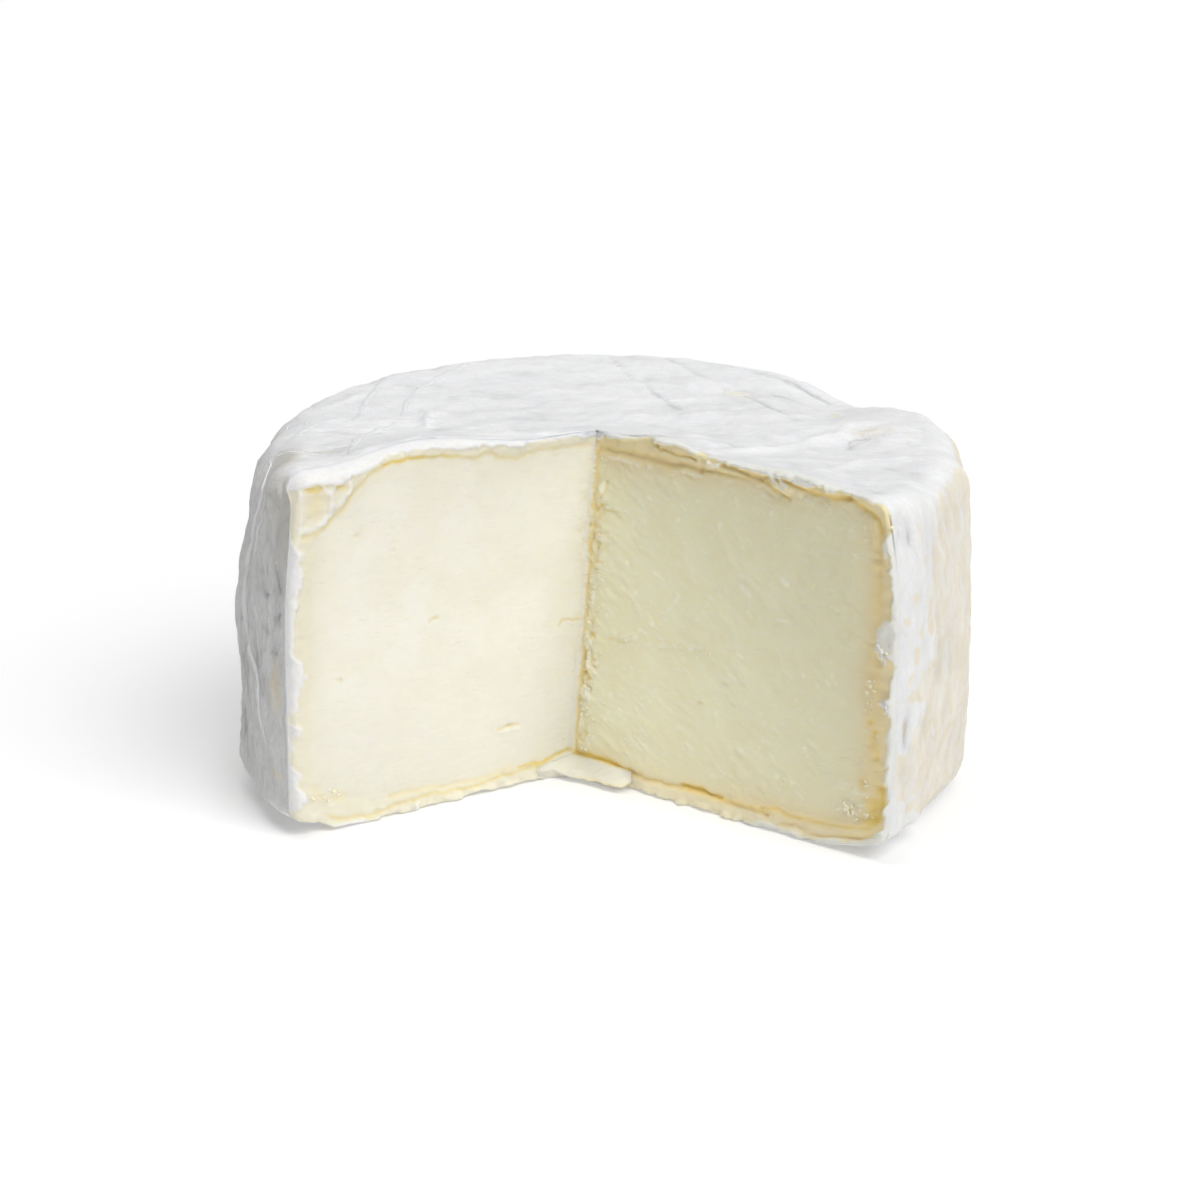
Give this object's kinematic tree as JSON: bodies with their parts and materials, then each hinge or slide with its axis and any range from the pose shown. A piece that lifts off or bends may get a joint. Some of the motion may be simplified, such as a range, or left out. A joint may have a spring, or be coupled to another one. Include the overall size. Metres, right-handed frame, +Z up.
{
  "type": "cheese wheel",
  "caption": "Small tall round soft cheese with a white bloomy rind, and a wide wedge cut out down to its base.",
  "frame": {"origin": "centre of the bounding box's base, on the surface the wheel stands on", "axes": "+Z up along the wheel's axis; the cut-out wedge opens towards -Y; +X to the right seen from the cut"},
  "size_m": [0.1106, 0.0963, 0.0559],
  "materials": {
    "rind": "soft dry white mould skin",
    "paste": "smooth moist pale cream paste"
  },
  "bodies": {
    "root": {"cheese_wheel": "rind"}
  },
  "joints": []
}
